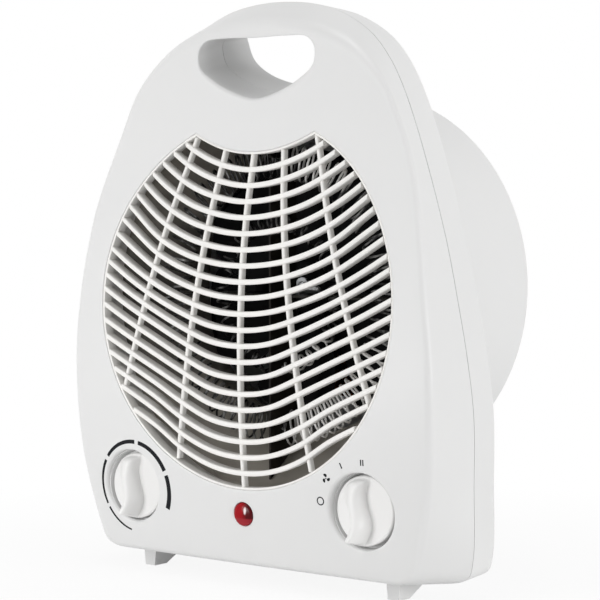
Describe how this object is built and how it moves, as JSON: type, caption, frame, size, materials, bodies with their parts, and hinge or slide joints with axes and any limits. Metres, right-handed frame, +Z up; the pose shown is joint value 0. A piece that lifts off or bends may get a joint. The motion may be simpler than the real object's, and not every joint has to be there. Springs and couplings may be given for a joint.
{
  "type": "fan convector heater",
  "caption": "Portable fan convector heater with a domed slatted outlet, carrying handle, control knobs, pilot lamp, heating coils and a fan behind.",
  "frame": {"origin": "middle of the footprint, on the floor under the feet", "axes": "+Z up, the front with grille and knobs faces -Y, +X to the viewer's right"},
  "size_m": [0.2022, 0.1016, 0.2493],
  "materials": {
    "shell": "satin",
    "grille": "satin",
    "knob": "satin",
    "lamp": "gloss",
    "dark_plastic": "matt",
    "pale_plastic": "satin",
    "duct_sheet": "satin",
    "mica": "matt",
    "heating_wire": "satin",
    "steel": "satin",
    "core": "satin",
    "copper": "satin",
    "brass": "satin"
  },
  "bodies": {
    "housing": {"front_housing": "shell", "rear_housing": "shell", "rear_grille": "shell", "front_foot_left": "shell", "front_foot_right": "shell", "rear_foot_left": "shell", "rear_foot_right": "shell", "front_grille": "grille", "pilot_lamp_lens": "lamp", "switch_body": "dark_plastic", "thermal_cutout": "dark_plastic", "cord_gland": "dark_plastic", "thermostat_body": "pale_plastic", "pilot_lamp_holder": "pale_plastic", "coil_bobbin": "pale_plastic", "terminal_block": "pale_plastic", "heat_shield": "duct_sheet", "element_board_level": "mica", "element_board_upright": "mica", "heating_coil_outer": "heating_wire", "heating_coil_inner": "heating_wire", "thermostat_nut": "steel", "switch_nut": "steel", "thermal_fuse": "steel", "front_bracket": "steel", "rear_bracket": "steel", "motor_screw_1": "steel", "motor_screw_2": "steel", "motor_mount": "steel", "mount_screw_1": "steel", "mount_screw_2": "steel", "mount_screw_3": "steel", "mount_screw_4": "steel", "housing_screw_1": "steel", "housing_screw_2": "steel", "housing_screw_3": "steel", "housing_screw_4": "steel", "stator_core": "core", "stator_leg": "core", "coil_winding": "copper", "front_bearing": "brass", "rear_bearing": "brass"},
    "thermostat_dial": {"thermostat_knob": "knob", "thermostat_spindle": "brass"},
    "switch_dial": {"switch_knob": "knob", "switch_spindle": "pale_plastic"},
    "fan": {"fan_impeller": "dark_plastic", "fan_clip": "steel", "motor_shaft": "steel", "motor_rotor": "core"}
  },
  "joints": [
    {"name": "fan_spin", "type": "hinge", "parent": "housing", "child": "fan", "pos_m": [0, 0.00563, 0.1267], "axis": [0, 1, 0], "continuous": true},
    {"name": "thermostat_turn", "type": "hinge", "parent": "housing", "child": "thermostat_dial", "pos_m": [-0.0629, -0.04087, 0.0377], "axis": [0, 1, 0], "range_deg": [-162, 113]},
    {"name": "switch_turn", "type": "hinge", "parent": "housing", "child": "switch_dial", "pos_m": [0.0629, -0.04087, 0.0377], "axis": [0, 1, 0], "range_deg": [-82, 0]}
  ]
}
